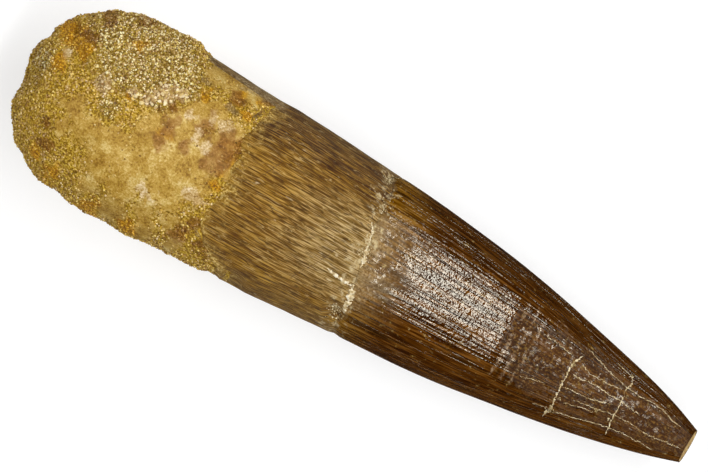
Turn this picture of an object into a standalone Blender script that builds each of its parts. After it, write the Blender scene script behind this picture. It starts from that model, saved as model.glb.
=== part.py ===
"""A fossil plesiosaur tooth lying on its side, with sandy matrix still cemented round its root.

Lengths are in metres, +Z is up and the surface that the tooth lies on is z = 0. The tooth points
along +X, from the matrix round its root to its broken tip. A place on it is given by its distance
along the tooth from the root end, and by an angle round it: 0 on the +Y flank, 90 degrees on top.
"""

import math

import bmesh
import bpy
from mathutils import Vector, noise

MM = 0.001
TURN = 2 * math.pi
SLOPE_STEP = 0.01 * MM  # for the slope of the outline
SHARP_ANGLE = math.radians(35)  # edges sharper than this aren't shaded smooth

# Driving dimensions of the whole outline
LENGTH = 49.8 * MM
ROOT_HALF_WIDTH = 6.55 * MM
TIP_HALF_WIDTH = 1.2 * MM
HEIGHT_SHARE = 0.9  # height of the section over its width
DOME_LENGTH = 7.5 * MM  # the rounded root end
DOME_POWER = 2.3
EVEN_TAPER = 0.4  # share of the narrowing that is even, the rest comes near the tip
TAPER_POWER = 4

# How it lies: the belly is worn flat, and the crown curves up and a little sideways
BELLY_WEAR = 0.12 * MM
ROOT_LIFT = 0.3 * MM  # matrix under the root holds it up
ROOT_LIFT_END = 23.0 * MM
BELLY_END = 30.0 * MM
TIP_LIFT = 3.4 * MM
FLANK_SWELL = 0.1 * MM
SWELL_AT = 29.0 * MM
TIP_DRIFT = -0.17 * MM

# Where the root end of the outline stands, so that the box of it all is centred on the origin
ROOT_END = Vector((-24.8, -0.014, 0.0)) * MM

# The tooth's own surface
RIDGES = 60  # round the crown
RIDGE_HEIGHT = 0.055 * MM
RIDGES_START = 25.5 * MM
RIDGES_FULL = 30.0 * MM
ROOT_SINK = 0.12 * MM  # the root stands this far under the outline beside the matrix
SINK_END = 17.0 * MM
SINK_FADE = 2.0 * MM
BREAK_AT = 25.4 * MM
BREAK_SLANT = 0.8 * MM  # the break comes this much nearer the root on the +Y flank
BREAK_ZIGZAG = ((3, 0.3 * MM), (7, 0.15 * MM))  # waves round the tooth, and their reach
BREAK_HALF_GAP = 0.35 * MM
BREAK_DEPTH = 0.2 * MM
TIP_SLANT = 0.2  # slope of the broken tip, whose face looks up a little
SLANT_START = 0.8  # share of the crown's length where its rings start to slant

# Sunken places on the tooth: distance along, angle, radius and depth
PITS = (
    (25.6 * MM, math.radians(139), 1.2 * MM, 0.38 * MM),
    (24.4 * MM, math.radians(14), 0.8 * MM, 0.16 * MM),
    (18.3 * MM, math.radians(176), 1.1 * MM, 0.2 * MM),
)

# The matrix ends on the root with a ragged edge, and much further back on the +Y flank
MATRIX_END = 16.4 * MM
MATRIX_TOP_SLANT = 1.5 * MM  # how much nearer the root the edge is on the side towards +Y
FLANK_END = 9.8 * MM
FLANK_ANGLES = (math.radians(26), math.radians(33))
RAGGED_WAVES = ((5, 0.35 * MM), (13, 0.2 * MM))  # waves round the tooth, and their reach
FLANK_RAGGED = 0.4  # share of those waves on the flank

# The relief of the matrix
CRUST = 0.12 * MM  # how far the matrix stands over the outline
UNDER_CRUST = 0.4 * MM  # it is thicker underneath, where it is worn flat
UNDER_HEIGHTS = (0.35, 0.9)  # shares of the half height below the axis where that sets in
LEDGE_RISE = 0.38 * MM  # the coarse patch on top stands higher still
LEDGE_END = 10.9 * MM
LEDGE_MIDDLE = math.radians(48)
LEDGE_HALF_ANGLE = math.radians(31)
LEDGE_SLOPE = 0.35 * MM
LEDGE_SIDE_SLOPE = math.radians(9)
LEDGE_ONSET = (1.5 * MM, 7.0 * MM)
LUMP_SIZES = ((3.4 * MM, 0.26 * MM), (1.6 * MM, 0.13 * MM))  # spacing and height
NOISE_PLACE = Vector((3.7, 1.9, 5.3))

# Knobs and dents of the matrix: distance along, angle, radius and height
KNOBS = (
    (8.7 * MM, math.radians(12), 1.3 * MM, 0.26 * MM),
    (0.5 * MM, math.radians(50), 1.5 * MM, 0.14 * MM),
    (1.5 * MM, math.radians(18), 1.3 * MM, -0.2 * MM),
    (11.0 * MM, math.radians(178), 3.0 * MM, 0.14 * MM),
    (1.2 * MM, math.radians(165), 1.4 * MM, 0.16 * MM),
    (6.2 * MM, math.radians(182), 1.3 * MM, -0.18 * MM),
    (3.2 * MM, math.radians(105), 1.5 * MM, -0.16 * MM),
    (5.0 * MM, math.radians(255), 1.8 * MM, 0.2 * MM),
)

# The buried end of the root, from the matrix's edge inwards: share of the way, share of the width
BURIED_RINGS = ((0.35, 0.84), (0.7, 0.6), (1.0, 0.3))
BURIED_END = 8.0 * MM
FIT_GAP = 0.1 * MM

# Mesh density
SIDES = 2 * RIDGES
NECK_RINGS = 5
CROWN_RINGS = 11
DOME_RINGS = 7
WALL_SHARES = (0.2, 0.37, 0.48, 0.65, 0.83, 1.0)  # two of them close together at the ledge
POLE_ANGLE = math.radians(9)

TOOTH_COLOUR = (0.105, 0.052, 0.018, 1.0)
MATRIX_COLOUR = (0.42, 0.27, 0.075, 1.0)


def smooth_step(value, start, end):
    """0 before start, 1 after end, and a smooth way between; start may be the larger."""
    share = min(1.0, max(0.0, (value - start) / (end - start)))
    return share * share * (3 - 2 * share)


def around(angle, middle):
    """The signed way from middle to angle, the short way round."""
    return (angle - middle + math.pi) % TURN - math.pi


def half_width(along):
    """Half the width of the outline: a blunt dome at the root, then a taper that quickens."""
    if along < DOME_LENGTH:
        inwards = 1 - max(along, 0.0) / DOME_LENGTH
        return ROOT_HALF_WIDTH * (1 - inwards**DOME_POWER) ** (1 / DOME_POWER)
    share = (along - DOME_LENGTH) / (LENGTH - DOME_LENGTH)
    narrowing = EVEN_TAPER * share + (1 - EVEN_TAPER) * share**TAPER_POWER
    return ROOT_HALF_WIDTH - (ROOT_HALF_WIDTH - TIP_HALF_WIDTH) * narrowing


def axis_height(along):
    """Height of the axis, so that the belly lies flat and the crown lifts towards the tip."""
    crown = max(0.0, along - BELLY_END) / (LENGTH - BELLY_END)
    lift = TIP_LIFT * crown**2 + ROOT_LIFT * smooth_step(along, ROOT_LIFT_END, MATRIX_END)
    return HEIGHT_SHARE * half_width(max(along, DOME_LENGTH)) - BELLY_WEAR + lift


def axis_side(along):
    """Sideways place of the axis: a slight swell to +Y, then a drift to -Y at the tip."""
    share = (along - SWELL_AT) / (LENGTH - SWELL_AT)
    drift = (TIP_DRIFT - FLANK_SWELL) * share * share if share > 0 else 0.0
    return FLANK_SWELL * smooth_step(along, DOME_LENGTH, SWELL_AT) + drift


def axis_point(along, beside):
    """The point this far along, on the axis as it runs beside another place."""
    return ROOT_END + Vector((along, axis_side(beside), axis_height(beside)))


def surface(along, angle, rise):
    """The point of the surface at this place, raised outwards by rise."""
    width = half_width(along)
    slope = (half_width(along + SLOPE_STEP) - width) / SLOPE_STEP
    outwards = Vector((-slope, math.cos(angle), math.sin(angle))).normalized()
    across = width * math.cos(angle)
    upwards = HEIGHT_SHARE * width * math.sin(angle)
    return axis_point(along, along) + Vector((0.0, across, upwards)) + outwards * rise


def spot(along, angle, centre_along, centre_angle, radius):
    """1 at the middle of a round spot, falling smoothly to 0 at its radius."""
    arc = around(angle, centre_angle) * half_width(max(centre_along, radius))
    return smooth_step(math.hypot(along - centre_along, arc), radius, 0.0)


def matrix_edge(angle):
    """Where the matrix ends on the root: ragged, and further back along the +Y flank."""
    off_flank = smooth_step(abs(around(angle, 0.0)), *FLANK_ANGLES)
    ragged = sum(reach * math.sin(waves * angle) for waves, reach in RAGGED_WAVES)
    open_edge = MATRIX_END - MATRIX_TOP_SLANT * (1 + math.cos(angle)) / 2 + ragged
    flank_edge = FLANK_END + FLANK_RAGGED * ragged
    return flank_edge + (open_edge - flank_edge) * off_flank


def break_line(angle):
    """Where the mended break crosses the tooth, with a shallow zigzag."""
    zigzag = sum(reach * math.sin(waves * angle) for waves, reach in BREAK_ZIGZAG)
    return BREAK_AT - BREAK_SLANT * math.cos(angle) + zigzag


def tooth_rise(along, angle):
    """Relief of the tooth: sunk beside the matrix, pitted, and ridged along the crown."""
    rise = -ROOT_SINK * smooth_step(along, SINK_END, SINK_END - SINK_FADE)
    for pit_along, pit_angle, radius, depth in PITS:
        rise -= depth * spot(along, angle, pit_along, pit_angle, radius)
    ridge = RIDGE_HEIGHT * math.cos(RIDGES * angle) * half_width(along) / ROOT_HALF_WIDTH
    return rise + ridge * smooth_step(along, RIDGES_START, RIDGES_FULL)


def ledge(along, angle):
    """1 on the coarse patch of matrix, which ends in a ledge towards the crown, and 0 off it."""
    off_middle = abs(around(angle, LEDGE_MIDDLE))
    across = smooth_step(off_middle, LEDGE_HALF_ANGLE, LEDGE_HALF_ANGLE - LEDGE_SIDE_SLOPE)
    front = smooth_step(along, LEDGE_END + LEDGE_SLOPE, LEDGE_END - LEDGE_SLOPE)
    return across * front * smooth_step(along, *LEDGE_ONSET)


def matrix_rise(along, angle):
    """Relief of the matrix: a crust with lumps, knobs, dents and the coarse patch's ledge."""
    rise = CRUST * smooth_step(along, 0.0, DOME_LENGTH) + LEDGE_RISE * ledge(along, angle)
    rise += UNDER_CRUST * smooth_step(-math.sin(angle), *UNDER_HEIGHTS)
    place = surface(along, angle, 0.0) - ROOT_END
    for spacing, height in LUMP_SIZES:
        rise += height * noise.noise(place / spacing + NOISE_PLACE)
    for knob_along, knob_angle, radius, height in KNOBS:
        rise += height * spot(along, angle, knob_along, knob_angle, radius)
    return rise


def angles():
    return [TURN * side / SIDES for side in range(SIDES)]


def tooth_point(along, angle):
    return surface(along, angle, tooth_rise(along, angle))


def buried_ring(way, width_share, growth):
    """A ring of the buried root end, or of the socket round it when growth is the gap."""
    ring = []
    for angle in angles():
        edge = matrix_edge(angle)
        along = edge + (BURIED_END - edge) * way - growth * way
        width = half_width(edge) * width_share + growth - ROOT_SINK
        across = Vector((0.0, math.cos(angle), HEIGHT_SHARE * math.sin(angle))) * width
        ring.append(axis_point(along, edge) + across)
    return ring


def neck_ring(share):
    """A ring between the matrix's edge and the mended break."""
    ring = []
    for angle in angles():
        start = matrix_edge(angle)
        end = break_line(angle) - BREAK_HALF_GAP
        ring.append(tooth_point(start + (end - start) * share, angle))
    return ring


def break_ring():
    """The bottom of the groove along the mended break."""
    ring = []
    for angle in angles():
        along = break_line(angle)
        ring.append(surface(along, angle, tooth_rise(along, angle) - BREAK_DEPTH))
    return ring


def crown_ring(share):
    """A ring of the crown. The last ones slant more and more, to the plane of the broken tip."""
    base = axis_height(LENGTH) - HEIGHT_SHARE * TIP_HALF_WIDTH
    ring = []
    for angle in angles():
        start = break_line(angle) + BREAK_HALF_GAP
        point = tooth_point(start + (LENGTH - start) * share, angle)
        point.x -= TIP_SLANT * (point.z - base) * smooth_step(share, SLANT_START, 1.0)
        ring.append(point)
    return ring


def tooth_rings():
    buried = [buried_ring(*shares, 0.0) for shares in reversed(BURIED_RINGS)]
    neck = [neck_ring(step / NECK_RINGS) for step in range(NECK_RINGS + 1)]
    crown = [crown_ring(step / CROWN_RINGS) for step in range(CROWN_RINGS + 1)]
    return buried + neck + [break_ring()] + crown


def matrix_ring(place):
    """A ring of the matrix's outside; place(angle) gives how far along each of its points is."""
    ring = []
    for angle in angles():
        along = place(angle)
        ring.append(surface(along, angle, matrix_rise(along, angle)))
    return ring


def matrix_rings():
    """The matrix from the root end to its edge, then back in down the socket round the root."""
    dome = []
    for step in range(DOME_RINGS + 1):
        tilt = POLE_ANGLE + (math.pi / 2 - POLE_ANGLE) * step / DOME_RINGS
        along = DOME_LENGTH * (1 - math.cos(tilt) ** (2 / DOME_POWER))
        dome.append(matrix_ring(lambda angle, along=along: along))
    wall = []
    for share in WALL_SHARES:
        wall.append(
            matrix_ring(
                lambda angle, share=share: DOME_LENGTH
                + (matrix_edge(angle) - DOME_LENGTH) * share
            )
        )
    lip = buried_ring(0.0, 1.0, FIT_GAP)
    socket = [buried_ring(*shares, FIT_GAP) for shares in BURIED_RINGS]
    return dome + wall + [lip] + socket


def loft(name, rings):
    """One closed mesh through the rings, with a flat face over each end."""
    mesh = bpy.data.meshes.new(name)
    bm = bmesh.new()
    rows = [[bm.verts.new(point) for point in ring] for ring in rings]
    for near, far in zip(rows, rows[1:]):
        for side in range(len(near)):
            following = (side + 1) % len(near)
            bm.faces.new((near[side], near[following], far[following], far[side]))
    bm.faces.new(rows[0])
    bm.faces.new(rows[-1])
    bmesh.ops.recalc_face_normals(bm, faces=bm.faces)
    bm.to_mesh(mesh)
    bm.free()
    return mesh


def wear_flat(mesh):
    """Cuts off what is under z = 0, and leaves flat faces to rest on."""
    bm = bmesh.new()
    bm.from_mesh(mesh)
    bmesh.ops.triangulate(bm, faces=[face for face in bm.faces if len(face.verts) == 4])
    everything = bm.verts[:] + bm.edges[:] + bm.faces[:]
    bmesh.ops.bisect_plane(
        bm, geom=everything, plane_co=(0, 0, 0), plane_no=(0, 0, 1), clear_inner=True
    )
    open_edges = [edge for edge in bm.edges if edge.is_boundary]
    bmesh.ops.holes_fill(bm, edges=open_edges, sides=0)
    bmesh.ops.recalc_face_normals(bm, faces=bm.faces)
    bm.to_mesh(mesh)
    bm.free()


def material(name, colour, roughness):
    made = bpy.data.materials.new(name)
    made.use_nodes = True
    shader = made.node_tree.nodes["Principled BSDF"]
    shader.inputs["Base Color"].default_value = colour
    shader.inputs["Roughness"].default_value = roughness
    shader.inputs["Metallic"].default_value = 0.0
    return made


def add_piece(name, rings, finish, collection):
    mesh = loft(name, rings)
    wear_flat(mesh)
    mesh.materials.append(finish)
    mesh.shade_smooth()
    mesh.set_sharp_from_angle(angle=SHARP_ANGLE)
    collection.objects.link(bpy.data.objects.new(name, mesh))


def main():
    for leftover in list(bpy.data.objects):
        bpy.data.objects.remove(leftover)
    collection = bpy.data.collections.new("fossil_tooth")
    bpy.context.scene.collection.children.link(collection)
    enamel = material("tooth", TOOTH_COLOUR, 0.4)
    sandstone = material("sandy_matrix", MATRIX_COLOUR, 0.9)
    add_piece("tooth", tooth_rings(), enamel, collection)
    add_piece("sandy_matrix", matrix_rings(), sandstone, collection)


main()
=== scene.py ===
"""A fossil plesiosaur tooth lying on a pale floor, seen from above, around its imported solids.

Lengths are in millimetres until a mesh is made. A place on the tooth is its distance along from
the root end and its angle round the axis: 0 on the +Y flank, a quarter turn on top. Details that
were read off the photograph are named points in its pixels, and are carried onto the surface.
"""

import functools
import itertools
import math

import bpy
import numpy as np
from mathutils import Matrix, Vector


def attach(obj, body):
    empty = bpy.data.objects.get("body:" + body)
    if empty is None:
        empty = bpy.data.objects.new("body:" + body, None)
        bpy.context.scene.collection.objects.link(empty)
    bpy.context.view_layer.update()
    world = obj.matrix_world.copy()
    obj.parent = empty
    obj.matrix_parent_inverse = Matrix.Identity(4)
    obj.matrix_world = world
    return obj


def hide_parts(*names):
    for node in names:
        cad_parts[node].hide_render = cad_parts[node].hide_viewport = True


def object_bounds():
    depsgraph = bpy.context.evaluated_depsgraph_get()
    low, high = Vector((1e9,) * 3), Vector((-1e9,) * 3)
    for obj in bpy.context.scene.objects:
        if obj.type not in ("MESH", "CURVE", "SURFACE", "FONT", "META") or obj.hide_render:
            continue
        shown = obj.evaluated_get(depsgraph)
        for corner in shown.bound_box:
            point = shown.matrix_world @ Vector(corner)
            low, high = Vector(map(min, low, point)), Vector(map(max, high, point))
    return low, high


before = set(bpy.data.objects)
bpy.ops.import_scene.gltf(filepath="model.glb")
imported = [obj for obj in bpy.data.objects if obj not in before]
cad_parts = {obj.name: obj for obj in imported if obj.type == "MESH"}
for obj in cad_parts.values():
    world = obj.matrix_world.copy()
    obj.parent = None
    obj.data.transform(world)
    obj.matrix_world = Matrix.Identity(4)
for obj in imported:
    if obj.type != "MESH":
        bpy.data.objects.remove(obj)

MM = 0.001
TURN = 2 * math.pi

CAD_LOW, CAD_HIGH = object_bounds()
BODY = "root"

# The outline of the solids, in millimetres
CRUST_AT_END = 0.2
ROOT_END = CAD_LOW.x / MM + CRUST_AT_END
LENGTH = CAD_HIGH.x / MM - ROOT_END
ROOT_HALF_WIDTH = 6.55
TIP_HALF_WIDTH = 1.2
HEIGHT_SHARE = 0.9
DOME_LENGTH = 7.5
DOME_POWER = 2.3
EVEN_TAPER = 0.4
TAPER_POWER = 4
BELLY_WEAR = 0.12
BELLY_END = 30.0
ROOT_LIFT = 0.3
ROOT_LIFT_END = 23.0
MATRIX_END = 16.4
TIP_LIFT = 3.4
FLANK_SWELL = 0.1
SWELL_AT = 29.0
TIP_DRIFT = -0.17
TIP_SLANT = 0.2
ROOT_SINK = 0.12
SINK_FADE = (15.0, 17.0)

# The photograph, and the camera that repeats it
PHOTO_SIZE = np.array([708.0, 472.0])
PIXEL = 50.0 / 767.0  # millimetres in one pixel: the tooth is 767 pixels long
PHOTO_MIDDLE = np.array([-0.89, 0.82])  # the place in plan at the middle of the picture
OUTLINE_HEIGHT = 5.2  # where the tooth is widest
CAMERA_TURN = math.radians(30)
SENSOR = 36.0
LENS = 200.0
DISTANCE = PIXEL * PHOTO_SIZE[0] * LENS / SENSOR
RIGHT = np.array([math.cos(CAMERA_TURN), math.sin(CAMERA_TURN)])
UP = np.array([-math.sin(CAMERA_TURN), math.cos(CAMERA_TURN)])


# Shape of the tooth


def smooth_step(value, start, end):
    """0 before start, 1 after end, and a smooth way between; start may be the larger."""
    share = np.clip((value - start) / (end - start), 0.0, 1.0)
    return share * share * (3 - 2 * share)


def around(angle, middle):
    """The signed way from middle to angle, the short way round."""
    return (angle - middle + math.pi) % TURN - math.pi


def half_width(along):
    inwards = 1 - np.clip(along, 0.0, DOME_LENGTH) / DOME_LENGTH
    dome = ROOT_HALF_WIDTH * (1 - inwards**DOME_POWER) ** (1 / DOME_POWER)
    share = np.clip((along - DOME_LENGTH) / (LENGTH - DOME_LENGTH), 0.0, None)
    narrowing = EVEN_TAPER * share + (1 - EVEN_TAPER) * share**TAPER_POWER
    taper = ROOT_HALF_WIDTH - (ROOT_HALF_WIDTH - TIP_HALF_WIDTH) * narrowing
    return np.where(along < DOME_LENGTH, dome, taper)


def axis_height(along):
    crown = np.clip(along - BELLY_END, 0.0, None) / (LENGTH - BELLY_END)
    lift = TIP_LIFT * crown**2 + ROOT_LIFT * smooth_step(along, ROOT_LIFT_END, MATRIX_END)
    return HEIGHT_SHARE * half_width(np.maximum(along, DOME_LENGTH)) - BELLY_WEAR + lift


def axis_side(along):
    share = np.clip((along - SWELL_AT) / (LENGTH - SWELL_AT), 0.0, None)
    drift = (TIP_DRIFT - FLANK_SWELL) * share * share
    return FLANK_SWELL * smooth_step(along, DOME_LENGTH, SWELL_AT) + drift


def surface(along, angle, rise):
    """Points of the surface at these places, raised outwards by rise."""
    step = 0.01
    width = half_width(along)
    slope = (half_width(along + step) - width) / step
    outwards = np.stack([-slope, np.cos(angle), np.sin(angle)], axis=-1)
    outwards /= np.linalg.norm(outwards, axis=-1, keepdims=True)
    x = ROOT_END + along
    y = axis_side(along) + width * np.cos(angle)
    z = axis_height(along) + HEIGHT_SHARE * width * np.sin(angle)
    return np.stack([x, y, z], axis=-1) + outwards * np.asarray(rise)[..., None]


# The way between the photograph and the tooth


HEIGHT_ROUNDS = 8  # the height of a place depends on the place, so it is found in rounds
OUTLINE_SHARE = 0.999  # a point outside the outline is carried to just inside it


def tooth_place(pixels):
    """Distance along and angle of points of the photograph, on the upper side of the tooth."""
    pixels = np.asarray(pixels, dtype=float)
    across = (pixels - PHOTO_SIZE / 2) * PIXEL * np.array([1.0, -1.0])
    offset = across[:, :1] * RIGHT + across[:, 1:] * UP
    height = np.full(len(pixels), OUTLINE_HEIGHT)
    for _ in range(HEIGHT_ROUNDS):
        nearer = 1 - (height - OUTLINE_HEIGHT) / DISTANCE
        plan = PHOTO_MIDDLE + offset * nearer[:, None]
        along = plan[:, 0] - ROOT_END
        side = (plan[:, 1] - axis_side(along)) / half_width(along)
        angle = np.arccos(np.clip(side, -OUTLINE_SHARE, OUTLINE_SHARE))
        height = axis_height(along) + HEIGHT_SHARE * half_width(along) * np.sin(angle)
    return along, angle


def photo_place(points):
    """The pixel at which the camera sees each point."""
    offset = points[..., :2] - PHOTO_MIDDLE
    nearer = 1 - (points[..., 2] - OUTLINE_HEIGHT) / DISTANCE
    across = np.stack([offset @ RIGHT, -(offset @ UP)], axis=-1) / nearer[..., None]
    return across / PIXEL + PHOTO_SIZE / 2


LATTICE_SIZE = 64


@functools.lru_cache(maxsize=None)
def lattice_of(seed):
    return np.random.default_rng(seed).uniform(-1.0, 1.0, (LATTICE_SIZE,) * 3)


def lattice_noise(points, spacing, seed):
    """Smooth noise from -1 to 1 that changes over about spacing."""
    lattice = lattice_of(seed)
    place = np.asarray(points) / spacing
    cell = np.floor(place).astype(int)
    part = place - cell
    part = part * part * (3 - 2 * part)
    total = np.zeros(place.shape[:-1])
    for corner in itertools.product((0, 1), repeat=3):
        index = (cell + np.array(corner)) % LATTICE_SIZE
        weight = np.prod(np.where(np.array(corner) == 1, part, 1 - part), axis=-1)
        total += weight * lattice[index[..., 0], index[..., 1], index[..., 2]]
    return total


def rough_noise(points, spacing, seed, octaves=3):
    """Noise with finer and lower octaves on top, from about -1 to 1."""
    total = np.zeros(np.asarray(points).shape[:-1])
    for octave in range(octaves):
        total += lattice_noise(points, spacing / 2**octave, seed + octave) / 2**octave
    return total / 1.5


SPOT_EDGE = (1.5, 0.5)  # shares of a spot's radius between which it fades in
SPOT_WARP = 0.8  # millimetres over which its ragged edge changes


def photo_spots(points, spots, raggedness, seed):
    """1 inside any of the round spots of the photograph, 0 outside, with a ragged soft edge."""
    pixels = photo_place(points)
    warp = [rough_noise(points, SPOT_WARP, seed + 10 * side) * raggedness for side in range(2)]
    pixels = pixels + np.stack(warp, axis=-1)
    amount = np.zeros(points.shape[:-1])
    for x, y, radius in spots:
        reach = np.hypot(pixels[..., 0] - x, pixels[..., 1] - y)
        edge = (share * radius for share in SPOT_EDGE)
        amount = np.maximum(amount, smooth_step(reach, *edge))
    return amount


# Meshes


def make_piece(name, points, faces, values, material, slot, node=None, smooth=True):
    """A mesh from points in millimetres, with a number or a vector per point for each value."""
    mesh = bpy.data.meshes.new(name)
    mesh.from_pydata((np.asarray(points) * MM).tolist(), [], faces)
    for label, value in values.items():
        value = np.asarray(value, dtype=np.float32)
        kind, key = ("FLOAT_VECTOR", "vector") if value.ndim == 2 else ("FLOAT", "value")
        layer = mesh.attributes.new(label, kind, "POINT")
        layer.data.foreach_set(key, value.ravel())
    mesh.polygons.foreach_set("use_smooth", [smooth] * len(mesh.polygons))
    mesh.materials.append(material)
    piece = bpy.data.objects.new(name, mesh)
    bpy.context.scene.collection.objects.link(piece)
    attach(piece, BODY)
    if node:
        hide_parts(node)


def tube(rings, values):
    """Points, faces and values of a closed tube through rings of points, with an apex at each end."""
    rows, columns = rings.shape[:2]
    points = np.concatenate([rings.reshape(-1, 3), rings[:1].mean(axis=1), rings[-1:].mean(axis=1)])
    row, column = np.meshgrid(np.arange(rows - 1), np.arange(columns), indexing="ij")
    following = (column + 1) % columns
    corners = [row * columns + column, (row + 1) * columns + column,
               (row + 1) * columns + following, row * columns + following]
    faces = np.stack(corners, axis=-1).reshape(-1, 4).tolist()
    first, last = rows * columns, rows * columns + 1
    end = (rows - 1) * columns
    for side in range(columns):
        faces.append((first, side, (side + 1) % columns))
        faces.append((last, end + (side + 1) % columns, end + side))
    flat = {}
    for label, value in values.items():
        grid = value.reshape(rows * columns, *value.shape[2:])
        ends = np.stack([value[0].mean(axis=0), value[-1].mean(axis=0)])
        flat[label] = np.concatenate([grid, ends])
    return points, faces, flat


def shrunken(ring, share):
    """The ring drawn in towards its middle."""
    middle = ring.mean(axis=0)
    return middle + (ring - middle) * share


def ring_angles(columns):
    return np.arange(columns) * TURN / columns


def above_floor(points, lowest=0.0):
    points[..., 2] = np.maximum(points[..., 2], lowest)
    return points


# The matrix's edge and the mended break, as seen from above

FLANK_EDGE_PIXEL = (204, 57)
FLANK_TOP = (math.radians(18), math.radians(28))
FLANK_BOTTOM = (math.radians(2), math.radians(40))
FLANK_RAGGEDNESS = math.radians(7)
MATRIX_EDGE_PIXELS = (
    (275, 108), (265, 117), (256, 126), (246, 137), (241, 146), (240, 158), (232, 168),
    (230, 178), (222, 190), (214, 201), (206, 211), (202, 224), (203, 242), (209, 255),
    (218, 265), (230, 274),
)
UNDER_EDGE_WAVES = ((3, 0.5), (8, 0.3))  # how many there are round the tooth, and their reach
UNDERNEATH = (0.05, 0.4)  # where the edge below takes over from the edge that is seen
EDGE_RAGGEDNESS = 0.22
FLANK_WANDERING = 0.7


def on_route(angle, pixels):
    """How far along the tooth a line across it, read off the photograph, is at each angle."""
    along, read_angle = tooth_place(pixels)
    order = np.argsort(read_angle)
    return np.interp(angle, read_angle[order], along[order])


def ring_places(angle):
    """Points on a plain ring, for noise that closes on itself round the tooth."""
    return np.stack([angle * 0, np.cos(angle), np.sin(angle)], axis=-1) * ROOT_HALF_WIDTH


def matrix_edge(angle):
    """Where the matrix ends on the root: read off the photograph above, and ragged below."""
    turned = angle % TURN
    waves = sum(reach * np.sin(count * angle) for count, reach in UNDER_EDGE_WAVES)
    above = on_route(turned, MATRIX_EDGE_PIXELS)
    edge = above + (MATRIX_END + waves - above) * smooth_step(-np.sin(angle), *UNDERNEATH)
    flank_edge = tooth_place([FLANK_EDGE_PIXEL])[0][0]
    strays = FLANK_RAGGEDNESS * rough_noise(ring_places(angle), 1.6, 37)
    turn = around(angle, 0.0)
    off_flank = np.where(turn > 0, smooth_step(turn + strays, *FLANK_TOP),
                         smooth_step(strays - turn, *FLANK_BOTTOM))
    edge = flank_edge + (edge - flank_edge) * off_flank
    edge += FLANK_WANDERING * rough_noise(ring_places(angle), 1.3, 33) * (1 - off_flank)
    return edge + EDGE_RAGGEDNESS * rough_noise(ring_places(angle), 0.9, 31)


BREAK_PIXELS = (
    (391, 176), (392, 188), (386, 200), (384, 212), (374, 224), (370, 240), (366, 256),
    (354, 284), (348, 300), (341, 318),
)


UNDER_BREAK = 25.4
BREAK_RAGGEDNESS = 0.2


def break_line(angle):
    """Where the mended break crosses the tooth, jagged at a small scale."""
    above = on_route(angle % TURN, BREAK_PIXELS)
    below = UNDER_BREAK - 0.8 * np.cos(angle) + 0.3 * np.sin(3 * angle)
    under = smooth_step(-np.sin(angle), -0.35, 0.2)
    strays = BREAK_RAGGEDNESS * rough_noise(ring_places(angle), 1.1, 47)
    return above + (below - above) * under + strays


# Relief of the tooth

RIDGES = 60
GROOVE_WIDTH = 0.05
GROOVE_DEPTH = 0.032
GROOVE_STARTS = (24.6, 28.0)
GROOVE_ENDS = (38.0, 43.0, 49.0)
GROOVE_FADES = (1.5, 2.5)  # lengths of its start and its end
FIBRE_SPACING = 0.17
FIBRE_LENGTH = 2.4
FIBRE_DEPTH = 0.02
BREAK_GROOVE = 0.09
BREAK_WIDTH = 0.3
SURFACE_LUMPS = 0.03
STEP_AT = (35.3, 35.9)  # the top of the crown turns down here, which ends its highlight
STEP_DROP = 0.05
SAG_AT = (35.9, 43.0)
SAG_DROP = 0.28
SAG_END = 49.5
BAND_SPACING = 0.7
BAND_DEPTH = 0.012
PIT_SPOTS = (  # pixels, radius in pixels and depth in millimetres
    (333, 312, 13, 0.34),
    (390, 178, 11, 0.16),
    (232, 282, 16, 0.26),
)
FLANK_NUDGES = (  # side, start, middle and end along the tooth, and the rise
    (1, 24.0, 27.0, 30.5, 0.04),
    (1, 32.0, 41.5, 47.5, -0.14),
    (-1, 17.0, 19.5, 22.5, 0.1),
    (-1, 25.5, 32.0, 38.0, 0.11),
)


def grooves(along, angle):
    """How deep the grooves between the ridges of the crown are, from 0 to 1."""
    draw = np.random.default_rng(5)
    depth = np.zeros(along.shape)
    width = half_width(along)
    for ridge in range(RIDGES):
        middle = TURN * (ridge + draw.uniform(-0.25, 0.25)) / RIDGES
        start = draw.uniform(*GROOVE_STARTS)
        end = draw.choice(GROOVE_ENDS) + draw.uniform(-2.5, 2.5)
        strength = draw.uniform(0.35, 1.0)
        sway = 0.012 * np.sin(along * draw.uniform(0.3, 0.7) + draw.uniform(0, TURN))
        reach = np.abs(around(angle, middle + sway)) * width
        fade = smooth_step(along, start, start + GROOVE_FADES[0])
        fade = fade * smooth_step(along, end, end - GROOVE_FADES[1])
        depth = np.maximum(depth, strength * fade * np.exp(-((reach / GROOVE_WIDTH) ** 2)))
    return depth


def fibre_space(along, angle):
    """Points that are far apart across the tooth and near each other along it."""
    width = half_width(along)
    squeezed = along * FIBRE_SPACING / FIBRE_LENGTH
    return np.stack([width * np.cos(angle), width * np.sin(angle), squeezed], axis=-1)


def bands(along, shift):
    """Waves across the crown just past its step, which fade towards the tip."""
    wave = np.cos(TURN * ((along - STEP_AT[0]) / BAND_SPACING - shift))
    return wave * smooth_step(along, *STEP_AT) * smooth_step(along, SAG_AT[1] - 3, SAG_AT[0])


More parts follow.
